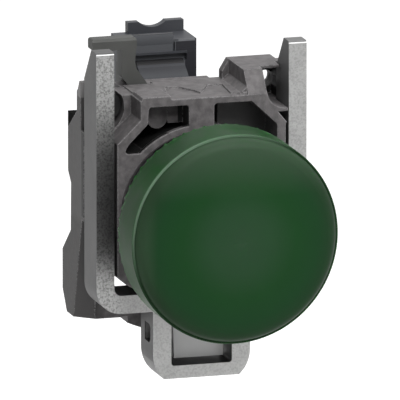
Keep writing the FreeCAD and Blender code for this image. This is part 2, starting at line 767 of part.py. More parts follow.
def block_cover():
    w = block_half_width
    body = box(-w, w, at(block_split) + seat_gap, at(block_rear), -core_half_height, core_half_height)
    rear_edges = [e for e in body.Edges if e.BoundBox.YMin > at(block_rear) - seat_gap]
    body = body.makeChamfer(cover_bevel, rear_edges)
    inner = w - block_wall
    return body.cut(box(-inner, inner, at(block_split), at(block_rear - block_wall),
                        -floor_reach, floor_reach))


def terminal_places():
    """X and Z of the upper and the lower screw, and the side of the axis that each is on."""
    lower_x = (lower_left_x + block_half_width) / 2
    return [(0.0, terminal_top_z, 1), (lower_x, terminal_bottom_z, -1)]


def terminal_plate(x, z, edge):
    reach = cavity_half_height - seat_gap
    front, rear = at(plate_front), at(plate_front + plate_thickness)
    plate = box(x - plate_half_width, x + plate_half_width, front, rear, z - reach, z + reach)
    blade = box(-blade_half_width, blade_half_width, front, rear, *sorted((z, edge * blade_reach)))
    slot = box(-board_thickness / 2 - seat_gap, board_thickness / 2 + seat_gap, front - 1, rear + 1,
               *sorted((0, edge * (board_half_height + seat_gap))))
    return plate.fuse(blade).cut(slot).cut(rod(screw_radius + run_gap, front - 1, rear + 1, x, z))


def clamp_washer(x, z):
    w = washer_half_width
    front, rear = at(washer_front), at(washer_front + washer_thickness)
    washer = box(x - w, x + w, front, rear, z - w, z + w)
    return washer.cut(rod(screw_radius + 2 * run_gap, front - 1, rear + 1, x, z))


def terminal_screw(x, z):
    rear = at(head_front + screw_head_height)
    head = rod(screw_head_radius, at(head_front), rear, x, z)
    rear_edges = [e for e in head.Edges if e.BoundBox.YMin > rear - seat_gap]
    head = head.makeChamfer(screw_head_bevel, rear_edges)
    screw = head.fuse(rod(screw_radius, at(head_front - screw_length), at(head_front), x, z))
    wide, long = screw_slot_width / 2, screw_slot_length / 2
    for half_x, half_z in ((wide, long), (long, wide)):
        slot = box(x - half_x, x + half_x, rear - screw_slot_depth, rear + 1, z - half_z, z + half_z)
        screw = screw.cut(slot)
    return screw


def circuit_board():
    t = board_thickness / 2
    board = box(-t, t, at(board_front), at(board_rear), -board_half_height, board_half_height)
    tongue_z = lamp_base_radius - seat_gap
    tongue = box(-t, t, at(lamp_rear), at(board_front), -tongue_z, tongue_z)
    return board.fuse(tongue)


def led_lamp():
    base = rod(lamp_base_radius, at(nose_front + block_wall + seat_gap), at(lamp_rear))
    body = rod(lamp_radius, at(lamp_front), at(lamp_rear))
    dome = Part.makeSphere(lamp_radius, vec(0, at(lamp_front), 0), vec(0, 1, 0))
    return base.fuse(body).fuse(dome)


def resistor():
    x = -board_thickness / 2 - resistor_radius
    front = at(board_rear - resistor_inset)
    return Part.makeCylinder(resistor_radius, resistor_length, vec(x, front, 0), vec(0, 1, 0))


def rectifier():
    x = board_thickness / 2
    front = at(board_rear - rectifier_inset)
    half = rectifier_size / 2
    return box(x, x + rectifier_height, front, front + rectifier_size, -half, half)


def main():
    save("lens_cap", lens_cap())
    save("lens_seal", lens_seal())
    save("head_barrel", head_barrel())
    save("panel_gasket", panel_gasket())
    save("light_pipe", light_pipe())
    save("clamp_stirrup", clamp_stirrup())
    save("clamp_screw", clamp_screw())
    save("guide_plate", guide_plate())
    save("fixing_collar", fixing_collar())
    save("side_latch", side_latch())
    save("lock_lever", lock_lever())
    save("block_housing", block_housing())
    save("block_cover", block_cover())
    for name, (x, z, edge) in zip(("top", "bottom"), terminal_places()):
        save("terminal_plate_" + name, terminal_plate(x, z, edge))
        save("clamp_washer_" + name, clamp_washer(x, z))
        save("terminal_screw_" + name, terminal_screw(x, z))
    save("circuit_board", circuit_board())
    save("led_lamp", led_lamp())
    save("resistor", resistor())
    save("rectifier", rectifier())


main()
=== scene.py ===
# %% [markdown]
# # Panel pilot light
# A round green lens sits on a barrel that passes through a hole in a control panel. Behind the
# panel a die-cast collar and a plated steel stirrup clamp it, and a slim dark block with screw
# terminals feeds the lamp. The solids of these pieces come ready made. This lesson gives them
# their surfaces, adds two small forms that only the eye needs, and lights them as in a catalogue.

# %% Load the pieces
import math

import bpy
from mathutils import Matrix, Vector


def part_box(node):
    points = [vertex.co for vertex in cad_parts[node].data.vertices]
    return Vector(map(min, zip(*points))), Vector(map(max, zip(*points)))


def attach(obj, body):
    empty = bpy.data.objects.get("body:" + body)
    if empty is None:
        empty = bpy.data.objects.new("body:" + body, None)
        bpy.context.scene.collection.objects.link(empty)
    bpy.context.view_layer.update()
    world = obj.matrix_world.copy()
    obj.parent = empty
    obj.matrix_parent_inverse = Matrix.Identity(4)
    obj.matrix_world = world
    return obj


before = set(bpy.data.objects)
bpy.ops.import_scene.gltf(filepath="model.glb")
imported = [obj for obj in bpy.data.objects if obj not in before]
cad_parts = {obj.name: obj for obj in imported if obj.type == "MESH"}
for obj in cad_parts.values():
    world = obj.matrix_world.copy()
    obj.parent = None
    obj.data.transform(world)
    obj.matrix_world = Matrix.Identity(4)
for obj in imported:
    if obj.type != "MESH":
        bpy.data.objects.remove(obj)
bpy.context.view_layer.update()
MM = 0.001
print("pieces", len(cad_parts))

# %% [markdown]
# The sizes below come from the pieces themselves, so what is painted or added later stays where
# it belongs. A box gives the lowest and highest corner of a piece at rest.

# %% Measure what the details sit on
lens_low, lens_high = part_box("lens_cap")
stirrup_low, stirrup_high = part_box("clamp_stirrup")
collar_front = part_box("fixing_collar")[0][1]
lens_radius = (lens_high[0] - lens_low[0]) / 2
print("lens radius", round(lens_radius / MM, 2), "mm")

# %% [markdown]
# A catalogue picture is taken with a long lens from far away, so parallel edges stay parallel.
# The camera stands 2.5 m off, a little to the left and above, and its focal length makes one
# millimetre of the light about seven pixels wide.

# %% Camera
view_azimuth = math.radians(-16.6)
view_elevation = math.radians(12.95)
view_distance = 2.5
view_target = Vector((-0.24, 9.0, 1.99)) * MM
focal_length = 1637.5

toward_camera = Vector((
    math.sin(view_azimuth) * math.cos(view_elevation),
    -math.cos(view_azimuth) * math.cos(view_elevation),
    math.sin(view_elevation),
))
bpy.ops.object.select_all(action="DESELECT")
bpy.ops.object.camera_add(location=view_target + toward_camera * view_distance)
camera = bpy.context.object
camera.rotation_euler = toward_camera.to_track_quat("Z", "Y").to_euler()
camera.data.lens = focal_length
camera.data.sensor_width = 36.0
camera.data.clip_start = 0.05
camera.data.clip_end = 20.0
bpy.context.scene.camera = camera
bpy.context.scene.view_settings.view_transform = "Standard"
print("camera", view_distance, "m away")

# %% [markdown]
# Every surface below is a small net of shader nodes. In the editor a node is added, its sockets
# are set or linked, and its output goes on to the next. These helpers do the same steps for the
# nodes that come back all the time. Each takes the node tree and returns the node's output, so a
# net reads like a formula. What is fed in may be a plain value or another node's output.

# %% Helpers for shader nodes
def feed(tree, value, socket):
    """Link a node's output to a socket, or set the socket to a plain value."""
    if isinstance(value, bpy.types.NodeSocket):
        tree.links.new(value, socket)
    elif socket.type == "RGBA":
        socket.default_value = (*value, 1.0)
    else:
        socket.default_value = value


def calculate(tree, operation, *values):
    node = tree.nodes.new("ShaderNodeMath")
    node.operation = operation
    for value, socket in zip(values, node.inputs):
        feed(tree, value, socket)
    return node.outputs[0]


def measure(tree, operation, *vectors):
    node = tree.nodes.new("ShaderNodeVectorMath")
    node.operation = operation
    for vector, socket in zip(vectors, node.inputs):
        feed(tree, vector, socket)
    return node.outputs["Value"]


def split(tree, place):
    """The X, Y and Z of a place."""
    axes = tree.nodes.new("ShaderNodeSeparateXYZ")
    feed(tree, place, axes.inputs[0])
    return axes.outputs["X"], axes.outputs["Y"], axes.outputs["Z"]


def remap(tree, value, start, end, result_start=0.0, result_end=1.0):
    """Carry the range from start to end over to another one, and stay level outside it."""
    node = tree.nodes.new("ShaderNodeMapRange")
    feed(tree, value, node.inputs["Value"])
    node.inputs["From Min"].default_value = start
    node.inputs["From Max"].default_value = end
    node.inputs["To Min"].default_value = result_start
    node.inputs["To Max"].default_value = result_end
    return node.outputs["Result"]


def noise(tree, place, size, detail=2.0):
    """Cloudy noise whose clouds are about as large as the size, in metres."""
    node = tree.nodes.new("ShaderNodeTexNoise")
    node.inputs["Scale"].default_value = 1.0 / size
    node.inputs["Detail"].default_value = detail
    feed(tree, place, node.inputs["Vector"])
    return node.outputs["Fac"]


def tone_ramp(tree, value, stops):
    """Colour that runs through the tones of the stops, each a position from 0 to 1 and a tone."""
    (first_position, first_tone), *others = stops
    node = tree.nodes.new("ShaderNodeValToRGB")
    marks = node.color_ramp.elements
    marks.remove(marks[1])
    marks[0].position = first_position
    marks[0].color = (*first_tone, 1.0)
    for position, tone in others:
        marks.new(position).color = (*tone, 1.0)
    feed(tree, value, node.inputs["Fac"])
    return node.outputs["Color"]


def mix_tones(tree, share, first, second, way="MIX"):
    """The first tone where the share is 0, and the second one where it is 1."""
    node = tree.nodes.new("ShaderNodeMix")
    node.data_type = "RGBA"
    node.blend_type = way
    feed(tree, share, node.inputs[0])
    feed(tree, first, node.inputs[6])
    feed(tree, second, node.inputs[7])
    return node.outputs[2]


def grey(level):
    return (level, level, level)


# %% [markdown]
# The world is a room that the metal mirrors and that lights the shaded faces. A picture of a real
# room could stand here, but two ramps are enough: dark on the left and bright on the right, and
# brighter above than below. What the camera sees directly, in a mirror or through glass is white
# instead. The Light Path node tells the two apart, so the white throws no light on the object.

# %% World and backdrop
room_left, room_right = 0.12, 0.75
room_below, room_above = 0.5, 1.0


def sees_background(tree):
    """1 for what the camera sees directly, in a mirror or through glass, else 0."""
    path = tree.nodes.new("ShaderNodeLightPath")
    direct = calculate(tree, "MAXIMUM", path.outputs["Is Camera Ray"], path.outputs["Is Glossy Ray"])
    return calculate(tree, "MAXIMUM", direct, path.outputs["Is Transmission Ray"])


def paint_world():
    world = bpy.data.worlds.new("studio")
    bpy.context.scene.world = world
    world.use_nodes = True
    tree = world.node_tree
    tree.nodes.clear()
    lookup = tree.nodes.new("ShaderNodeTexCoord")
    x, _, z = split(tree, lookup.outputs["Generated"])
    sideways = remap(tree, x, -1.0, 1.0, room_left, room_right)
    upward = remap(tree, z, -1.0, 1.0, room_below, room_above)
    room = tree.nodes.new("ShaderNodeBackground")
    white = tree.nodes.new("ShaderNodeBackground")
    for backdrop, strength in ((room, calculate(tree, "MULTIPLY", sideways, upward)), (white, 1.0)):
        feed(tree, grey(1.0), backdrop.inputs["Color"])
        feed(tree, strength, backdrop.inputs["Strength"])
    either = tree.nodes.new("ShaderNodeMixShader")
    feed(tree, sees_background(tree), either.inputs[0])
    feed(tree, room.outputs[0], either.inputs[1])
    feed(tree, white.outputs[0], either.inputs[2])
    out = tree.nodes.new("ShaderNodeOutputWorld")
    feed(tree, either.outputs[0], out.inputs["Surface"])
    return world


print("world", paint_world().name)

# %% [markdown]
# The light is held by its panel and stands on nothing, so the pale floor lies well below it. The
# floor is matt and keeps its shadows. For what is seen directly or mirrored it also glows a
# little, which lifts its pale grey to white without lighting the object.

# %% Floor
floor_width = 12.0
floor_middle = 4.0
floor_drop = 60 * MM
floor_pale = 0.85
floor_glow = 0.45
floor_z = stirrup_low[2] - floor_drop
bpy.ops.object.select_all(action="DESELECT")
bpy.ops.mesh.primitive_plane_add(size=floor_width, location=(0, floor_middle, floor_z))
floor = bpy.context.object
floor.name = "studio_floor"


def floor_paint():
    paint = bpy.data.materials.new("floor_white")
    paint.use_nodes = True
    tree = paint.node_tree
    tree.nodes.clear()
    matt = tree.nodes.new("ShaderNodeBsdfDiffuse")
    feed(tree, grey(floor_pale), matt.inputs["Color"])
    glow = tree.nodes.new("ShaderNodeEmission")
    feed(tree, grey(1.0), glow.inputs["Color"])
    feed(tree, calculate(tree, "MULTIPLY", sees_background(tree), floor_glow), glow.inputs["Strength"])
    total = tree.nodes.new("ShaderNodeAddShader")
    feed(tree, matt.outputs[0], total.inputs[0])
    feed(tree, glow.outputs[0], total.inputs[1])
    out = tree.nodes.new("ShaderNodeOutputMaterial")
    feed(tree, total.outputs[0], out.inputs["Surface"])
    return paint


floor.data.materials.append(floor_paint())
print("floor", round(floor_z / MM, 1), "mm")

# %% [markdown]
# Three area lamps do the rest, as soft boxes would. The strongest hangs in front and above, a
# wide one hangs overhead so that top faces are brighter than fronts, and a weak one on the right
# keeps that edge of the lens from going black.

# %% Lamps
def soft_box(name, place, size, power, aim=(0.0, 0.012, 0.0)):
    bpy.ops.object.select_all(action="DESELECT")
    bpy.ops.object.light_add(type="AREA", location=place)
    lamp = bpy.context.object
    lamp.name = name
    lamp.data.shape = "RECTANGLE"
    lamp.data.size, lamp.data.size_y = size
    lamp.data.energy = power
    direction = Vector(place) - Vector(aim)
    lamp.rotation_euler = direction.to_track_quat("Z", "Y").to_euler()


soft_box("key_box", (0.05, -0.44, 0.46), (0.40, 0.30), 3.4)
soft_box("overhead_box", (0.00, 0.08, 0.60), (0.50, 0.40), 1.9)
soft_box("right_box", (0.55, -0.40, 0.10), (0.30, 0.50), 0.8)
print("lamps", len(bpy.data.lights))

# %% [markdown]
# Every finish here is a Principled shader whose colour, roughness and relief come from noise read
# in the piece's own coordinates, in metres. The helper below builds the common part: a base
# colour that drifts between two tones, a little variation of gloss, and a fine bump. What is the
# same all over a surface is set on the shader's own sockets. A plain finish needs only one tone,
# and takes the two others a little below and above it.

# %% A helper for all finishes
gloss_spread = 0.06
drift_levels = (0.3, 0.7)
bump_strength = 0.6


def finish(name, dark, light, rough, drift_size, grain_size, grain_depth, metallic=0.0, specular=0.25):
    """Material of two close tones with grain. Sizes are in metres. Returns it with its main nodes."""
    paint = bpy.data.materials.new(name)
    paint.use_nodes = True
    tree = paint.node_tree
    shader = tree.nodes["Principled BSDF"]
    shader.inputs["Metallic"].default_value = metallic
    shader.inputs["Specular IOR Level"].default_value = specular
    place = tree.nodes.new("ShaderNodeTexCoord").outputs["Object"]
    drift = noise(tree, place, drift_size, detail=3.0)
    tones = tone_ramp(tree, drift, zip(drift_levels, (dark, light)))
    feed(tree, tones, shader.inputs["Base Color"])
    gloss = remap(tree, drift, 0.0, 1.0, rough - gloss_spread, rough + gloss_spread)
    feed(tree, gloss, shader.inputs["Roughness"])
    grain = noise(tree, place, grain_size)
    relief = tree.nodes.new("ShaderNodeBump")
    relief.inputs["Strength"].default_value = bump_strength
    relief.inputs["Distance"].default_value = grain_depth
    feed(tree, grain, relief.inputs["Height"])
    feed(tree, relief.outputs["Normal"], shader.inputs["Normal"])
    return paint, {"shader": shader, "place": place, "grain": grain, "relief": relief}


def plain(name, tone, rough=0.55, spread=0.12, metallic=0.0):
    """Finish whose two tones lie a little below and above one tone."""
    dark = tuple(part * (1 - spread) for part in tone)
    light = tuple(part * (1 + spread) for part in tone)
    return finish(name, dark, light, rough, 4 * MM, 0.3 * MM, 0.01 * MM, metallic)[0]


def dress(node, paint):
    """Give a ready-made piece its finish."""
    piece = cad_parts[node]
    piece.data.materials.clear()
    piece.data.materials.append(paint)


# %% [markdown]
# Handling rubs the sharp edges of a casting pale. The Bevel node gives
# the normal that a rounded edge would have. Where that differs from the real normal there is an
# edge, and a lighter tone shows there in broken patches. Painted shade in a hollow, or painted
# light or shade on one face, is a box in the piece's coordinates, with a soft border, inside which
# another tone takes over.

# %% Worn edges and toned boxes
edge_samples = 6
edge_agreement = (0.995, 0.86)
wear_levels = (0.36, 0.56)


def recolour(tree, parts, share, tone):
    """Mix a tone into the colour that a finish has so far."""
    colour = parts["shader"].inputs["Base Color"]
    feed(tree, mix_tones(tree, share, colour.links[0].from_socket, tone), colour)


def wear_edges(paint, parts, tone, width, amount):
    """Round the look of sharp edges and let a lighter tone show along them."""
    tree = paint.node_tree
    rounded = tree.nodes.new("ShaderNodeBevel")
    rounded.samples = edge_samples
    rounded.inputs["Radius"].default_value = width
    feed(tree, rounded.outputs["Normal"], parts["relief"].inputs["Normal"])
    surface = tree.nodes.new("ShaderNodeNewGeometry")
    agreement = measure(tree, "DOT_PRODUCT", rounded.outputs["Normal"], surface.outputs["Normal"])
    edge = remap(tree, agreement, *edge_agreement, 0.0, amount)
    patches = remap(tree, parts["grain"], *wear_levels)
    recolour(tree, parts, calculate(tree, "MULTIPLY", edge, patches), tone)


def tone_inside(paint, parts, low, high, tone, fade):
    """Blend a piece's colour to a tone inside a box. The box and its border are in millimetres."""
    tree = paint.node_tree
    inside = 1.0
    for axis, start, end in zip(split(tree, parts["place"]), low, high):
        for limit, border in ((start, fade), (end, -fade)):
            level = remap(tree, axis, limit * MM, (limit + border) * MM)
            inside = calculate(tree, "MULTIPLY", inside, level)
    recolour(tree, parts, inside, tone)


# %% [markdown]
# The lens is translucent polycarbonate, unlit here, so it reads as a deep satin green. Its tone
# changes with the distance from the middle: greyer in the middle, deep green around it, and grey
# again at the rim, most of all above and on the left. Lamps alone could give this, but each would
# also change all the other pieces, so the tones are painted. The distance is the length of the
# place without its depth, and a colour ramp turns it into rings.

# %% Face of the lens
face_end, rim_start, skirt_start = 0.965, 0.975, 0.985
lens_rings = (
    (0.00, (0.019, 0.050, 0.023)),
    (0.30, (0.016, 0.049, 0.020)),
    (0.55, (0.008, 0.042, 0.011)),
    (0.78, (0.008, 0.038, 0.012)),
    (0.86, (0.010, 0.035, 0.013)),
    (face_end, (0.015, 0.033, 0.016)),
    (skirt_start, (0.008, 0.040, 0.010)),
)
top_band_tone = (0.036, 0.066, 0.038)
top_band_start, top_band_end = 0.42 * lens_radius, 0.92 * lens_radius
left_band_tone = (0.024, 0.051, 0.026)
left_band_start, left_band_end = -0.78 * lens_radius, -0.93 * lens_radius
print("lens face", len(lens_rings), "rings")


def face_tone(tree, rings, x, z):
    upper = mix_tones(tree, remap(tree, z, top_band_start, top_band_end), rings, top_band_tone)
    return mix_tones(tree, remap(tree, x, left_band_start, left_band_end), upper, left_band_tone)


# %% [markdown]
# The skirt behind the rim shows broad patches of a deeper and a greyer green. The teeth at its
# rear end are the grip for the hand, and pale specks on them are painted glints of light. Both
# come from noise, a coarse one for the patches and a fine one for the specks.

# %% Skirt of the lens
skirt_patch = 5.0 * MM
skirt_stops = ((0.42, (0.004, 0.040, 0.006)), (0.60, (0.014, 0.042, 0.016)))
tooth_start = lens_high[1] - 1.3 * MM
tooth_fade = 0.39 * MM
glint_speck = 0.8 * MM
tooth_levels = (0.55, 0.70)
tooth_glint_tone = (0.045, 0.090, 0.048)
print("teeth begin", round(tooth_start / MM, 2), "mm")


def skirt_tone(tree, place):
    return tone_ramp(tree, noise(tree, place, skirt_patch), skirt_stops)


# painted glints of light on the teeth, as pale specks
def tooth_glints(tree, place, y):
    glint_spots = remap(tree, noise(tree, place, glint_speck), *tooth_levels)
    at_teeth = remap(tree, y, tooth_start, tooth_start + tooth_fade)
    return calculate(tree, "MULTIPLY", glint_spots, at_teeth)


# %% [markdown]
# A narrow bevel runs around the rim, between face and skirt. On the upper left it catches a line
# of light, and it is dark on the other side. It is painted, so that it stays the same when a lamp
# is moved. Its place is a depth behind the front, and how far it faces the light is its place
# measured along the light's direction.

# %% Rim of the lens
rim_line_place = lens_low[1] + 2.76 * MM
rim_line_depth = 0.15 * MM
rim_line_tone = (0.125, 0.19, 0.133)
rim_dark_tone = (0.009, 0.025, 0.010)
rim_light_from = Vector((-0.62, 0.0, 0.78))
rim_facing_start, rim_facing_end = 0.25 * lens_radius, 0.95 * lens_radius
print("rim line", round(rim_line_place / MM, 2), "mm")


def rim_tone(tree, flat):
    toward_light = measure(tree, "DOT_PRODUCT", flat, rim_light_from)
    facing = remap(tree, toward_light, rim_facing_start, rim_facing_end)
    return mix_tones(tree, facing, rim_dark_tone, rim_line_tone)


def at_rim(tree, y):
    distance = calculate(tree, "ABSOLUTE", calculate(tree, "SUBTRACT", y, rim_line_place))
    return remap(tree, distance, rim_line_depth, 0.0)


# %% [markdown]
# Now the tones are put together, each over the ones before it: rings, skirt, face, rim, teeth. A
# little of the light enters the plastic and scatters, which the shader's subsurface part gives.

# %% Lens green
scatter_share = 0.25
scatter_colours = (0.3, 1.0, 0.35)
scatter_reach = 2.0 * MM


def lens_green():
    paint, parts = finish("lens_green", (0.012, 0.046, 0.016), (0.014, 0.050, 0.018),
                          0.42, 20 * MM, 0.6 * MM, 0.003 * MM, specular=0.05)
    tree, place, shader = paint.node_tree, parts["place"], parts["shader"]
    x, y, z = split(tree, place)
    flat = tree.nodes.new("ShaderNodeCombineXYZ")
    feed(tree, x, flat.inputs["X"])
    feed(tree, z, flat.inputs["Z"])
    across = remap(tree, measure(tree, "LENGTH", flat.outputs[0]), 0.0, lens_radius)
    rings = tone_ramp(tree, across, lens_rings)
    on_skirt = remap(tree, across, rim_start, skirt_start)
    on_face = remap(tree, across, rim_start, face_end)
    outer = mix_tones(tree, on_skirt, rings, skirt_tone(tree, place))
    whole = mix_tones(tree, on_face, outer, face_tone(tree, rings, x, z))
    lined = mix_tones(tree, at_rim(tree, y), whole, rim_tone(tree, flat.outputs[0]))
    glinted = mix_tones(tree, tooth_glints(tree, place, y), lined, tooth_glint_tone)
    feed(tree, glinted, shader.inputs["Base Color"])
    shader.inputs["Subsurface Weight"].default_value = scatter_share
    shader.inputs["Subsurface Radius"].default_value = scatter_colours
    shader.inputs["Subsurface Scale"].default_value = scatter_reach
    return paint


dress("lens_cap", lens_green())
print("lens", len(bpy.data.materials["lens_green"].node_tree.nodes), "nodes")

# %% [markdown]
# The stirrup is punched from thick plate and zinc plated. Its cut front faces show a fine pitted
# speckle, strong on the left arm and faint elsewhere. One noise makes it, and both colour and
# relief follow that noise. The middle of the left arm is painted dark, a painted reflection of a
# dark room in the plating. A ramp of tones along the height gives that, and a power bends it, so
# that the arm's inner edge is dark for longer than its outer one.

# %% Front of the stirrup
speckle_size = 0.24 * MM
speckle_stops = ((0.36, grey(0.52)), (0.56, grey(1.0)))
faint_tone = grey(0.86)
faint_share = 0.38
# painted light: the cut front is lighter towards the bottom and darker towards the top
lower_light_gain, upper_light_gain = 1.14, 0.84
arm_thickness = 2.55 * MM
shade_low, shade_high = -12.0, 20.0
shade_steps = (
    (shade_low, 1.0), (-10.5, 1.0), (-9.0, 0.95), (-7.6, 0.74), (-6.2, 0.42), (-4.7, 0.20),
    (-3.0, 0.125), (-1.0, 0.10), (2.0, 0.088), (6.0, 0.10), (9.4, 0.17), (11.0, 0.26),
    (13.0, 0.41), (15.0, 0.62), (17.0, 0.78), (19.0, 0.86), (shade_high, 0.86),
)
outer_bend, inner_bend = 0.84, 1.16
print("left arm", len(shade_steps), "steps of shade")


def arm_shade(tree, x, z):
    """Painted reflection: how much light the left arm's front keeps at a height."""
    span = shade_high - shade_low
    stops = [((height - shade_low) / span, grey(kept)) for height, kept in shade_steps]
    shade = tone_ramp(tree, remap(tree, z, shade_low * MM, shade_high * MM), stops)
    bend = remap(tree, x, stirrup_low[0], stirrup_low[0] + arm_thickness, outer_bend, inner_bend)
    return calculate(tree, "POWER", shade, bend)


def front_tone(tree, base, speckle, x, z, at_left):
    strength = remap(tree, at_left, 0.0, 1.0, faint_share, 1.0)
    pitted = mix_tones(tree, strength, faint_tone, tone_ramp(tree, speckle, speckle_stops))
    shaded = mix_tones(tree, at_left, grey(1.0), arm_shade(tree, x, z))
    # painted light, lighter towards the bottom and darker towards the top
    light_gain = remap(tree, z, stirrup_low[2], stirrup_high[2], lower_light_gain, upper_light_gain)
    for layer in (pitted, shaded, light_gain):
        base = mix_tones(tree, 1.0, base, layer, "MULTIPLY")
    return base


# %% [markdown]
# The rolled sides have no speckled tone, and painted shade makes them darker than the cut front,
# most of all on the left. The narrow bevel on the arms' ends faces the lamps, and a painted
# highlight makes it almost white. It stands at 45 degrees, so it lies where depth less height is
# smallest. The inside of the lower loop and the outer side of its left leg see hardly any light,
# and each gets painted shade in a box of its own.

# %% Zinc-plated steel
side_shade_tone = grey(0.084)
right_side_shade_tone = grey(0.14)
# painted highlight along the bevel on the arms' ends
bevel_highlight_tone = grey(0.95)
bevel_slant = stirrup_low[1] - stirrup_high[2] + 0.30 * MM
bevel_start, bevel_end = bevel_slant + 0.04 * MM, bevel_slant + 0.01 * MM
side_start, side_end = collar_front + 0.01 * MM, collar_front + 0.12 * MM
left_start, left_end = -11.0 * MM, -12.5 * MM
loop_fade = 0.05
loop_shades = (
    # painted shade: inside of the loop, and the outer side of its left leg
    ((-4.45, 9.10, -21.3), (4.45, 18.0, -10.9), grey(0.030)),
    ((-7.40, 9.10, -24.0), (-6.80, 18.0, -13.4), grey(0.058)),
)


def zinc_plate():
    paint, parts = finish("zinc_plate", (0.39, 0.39, 0.385), (0.47, 0.47, 0.465),
                          0.5, 3 * MM, 0.25 * MM, 0.02 * MM, metallic=0.3)
    tree, shader = paint.node_tree, parts["shader"]
    base = shader.inputs["Base Color"].links[0].from_socket
    speckle = noise(tree, parts["place"], speckle_size)
    x, y, z = split(tree, parts["place"])
    at_left = remap(tree, x, left_start, left_end)
    front = front_tone(tree, base, speckle, x, z, at_left)
    behind = remap(tree, y, side_start, side_end)
    sides = mix_tones(tree, behind, front, mix_tones(tree, at_left, right_side_shade_tone, side_shade_tone))
    on_bevel = remap(tree, calculate(tree, "SUBTRACT", y, z), bevel_start, bevel_end)
    bevel_highlight = calculate(tree, "MULTIPLY", on_bevel, calculate(tree, "SUBTRACT", 1.0, behind))
    feed(tree, mix_tones(tree, bevel_highlight, sides, bevel_highlight_tone), shader.inputs["Base Color"])
    feed(tree, speckle, parts["relief"].inputs["Height"])
    for low, high, tone in loop_shades:
        tone_inside(paint, parts, low, high, tone, loop_fade)
    return paint


dress("clamp_stirrup", zinc_plate())
print("stirrup", round((stirrup_high[2] - stirrup_low[2]) / MM, 1), "mm tall")

# %% [markdown]
# The collar is a zinc die casting left bare: a mid grey with a faint warm tint, matt, with small
# pits from the die and pale, rubbed edges. The left window and the right pocket are deep, and
# painted shade takes them nearly black, and the inside of the right window keeps one grey. The
# left flank faces away from the lamps, and painted shade makes it darker towards its foot. The
# light of this room alone leaves them all too pale, so their painted light and shade lies in boxes.

# %% Die-cast collar
hollow_fade = 0.1
hollow_shades = (
    # painted shade in the left window: all that lies behind the hub's face, its low part in two steps,
    # its right end
    ((-7.9, 12.1, 9.0), (-1.6, 22.0, 15.5), grey(0.010)),
    ((-10.95, 9.3, 8.9), (-1.6, 22.0, 10.5), grey(0.010)),
    ((-9.2, 9.3, 8.9), (-1.6, 22.0, 11.7), grey(0.010)),
    ((-2.6, 9.3, 11.5), (-1.7, 22.0, 15.4), grey(0.010)),
    # one grey inside the right window, and painted shade in the right screw pocket
    ((1.6, 12.1, 6.4), (11.7, 22.0, 15.5), grey(0.110)),
    ((9.3, 13.2, 14.3), (13.1, 18.5, 18.95), grey(0.014)),
)
flank_shades = (
    # painted shade on the left flank as a whole, its lower half, and the sloped corner at its foot
    ((-17.0, 8.0, -20.0), (-14.4, 40.0, 20.0), (0.080, 0.078, 0.078), 0.1),
    ((-17.0, 8.0, -25.0), (-14.4, 40.0, 3.0), (0.068, 0.066, 0.066), 2.0),
    ((-18.0, 5.0, -20.0), (-11.0, 28.0, -1.0), (0.052, 0.050, 0.050), 1.5),
    # painted shadow on the strip beside the arm, and a lighter top of the flank
    ((-17.0, 9.0, -1.0), (-14.4, 16.6, 15.3), (0.022, 0.022, 0.022), 0.05),
    ((-17.0, 15.9, 15.5), (-14.4, 19.2, 18.0), (0.220, 0.215, 0.215), 0.2),
)
rubbed_tone = (0.28, 0.272, 0.275)
rubbed_width = 0.28 * MM
rubbed_share = 0.90


def cast_zinc():
    paint, parts = finish("cast_zinc", (0.076, 0.072, 0.073), (0.138, 0.130, 0.132),
                          0.6, 1 * MM, 0.28 * MM, 0.05 * MM)
    for low, high, tone in hollow_shades:
        tone_inside(paint, parts, low, high, tone, hollow_fade)
    for low, high, tone, fade in flank_shades:
        tone_inside(paint, parts, low, high, tone, fade)
    wear_edges(paint, parts, rubbed_tone, rubbed_width, rubbed_share)
    return paint


dress("fixing_collar", cast_zinc())
print("collar", len(hollow_shades) + len(flank_shades), "toned boxes")

# %% [markdown]
# The light block is a dark blue-grey moulding. Little more than its upper tower shows from the
# front, and there each face takes the light differently. That light and shade is painted in flat
# boxes that take in one face each: a paler front, a recess low in it, and a slope that comes
# forward from the recess.

# %% Moulded light block
block_fade = 0.04
block_light_and_shade = (
    # front of the tower
    ((-5.3, 28.9, 16.3), (5.15, 29.1, 20.1), (0.074, 0.077, 0.084), block_fade),
    # slope: dark upper part, paler lower part, bright line near the top, dark ledge behind it
    ((-5.3, 19.0, 11.7), (5.3, 28.97, 16.8), (0.017, 0.018, 0.022), block_fade),
    ((-5.3, 19.0, 11.0), (5.3, 28.97, 16.5), (0.031, 0.033, 0.038), 0.6),
    ((-5.3, 19.0, 16.78), (5.3, 28.97, 18.25), (0.026, 0.027, 0.032), block_fade),
    ((-5.3, 19.0, 17.02), (5.3, 28.97, 18.25), (0.007, 0.007, 0.008), block_fade),
    # rear wall of the recess
    ((-5.3, 29.3, 16.5), (5.3, 30.2, 18.5), (0.080, 0.084, 0.092), block_fade),
    # right part of the front: low, high, and a painted highlight on its top edge
    ((3.55, 28.9, 5.0), (5.4, 29.1, 18.5), (0.018, 0.018, 0.022), block_fade),
    ((2.2, 28.9, 18.3), (5.4, 29.1, 19.90), (0.022, 0.022, 0.026), block_fade),
    ((2.6, 28.9, 19.90), (5.0, 29.1, 20.4), (0.15, 0.155, 0.165), block_fade),
)


def block_dark():
    paint, parts = finish("block_dark", (0.037, 0.039, 0.045), (0.043, 0.045, 0.051),
                          0.5, 4 * MM, 0.3 * MM, 0.01 * MM)
    for low, high, tone, fade in block_light_and_shade:
        tone_inside(paint, parts, low, high, tone, fade)
    return paint


block_paint = block_dark()
dress("block_housing", block_paint)
dress("block_cover", block_paint)
print("block", len(block_light_and_shade), "toned faces")

# %% [markdown]
# The other pieces need only a plain finish, told apart by tone and gloss: grey lever and guide
# plate, black rubber and plastic, blackened and nickel-plated screws, tinned brass, and the lamp's
# electronics. The latch mirrors nothing, because it stands in deep shade, where even a faint
# mirror image of the room would turn it grey.

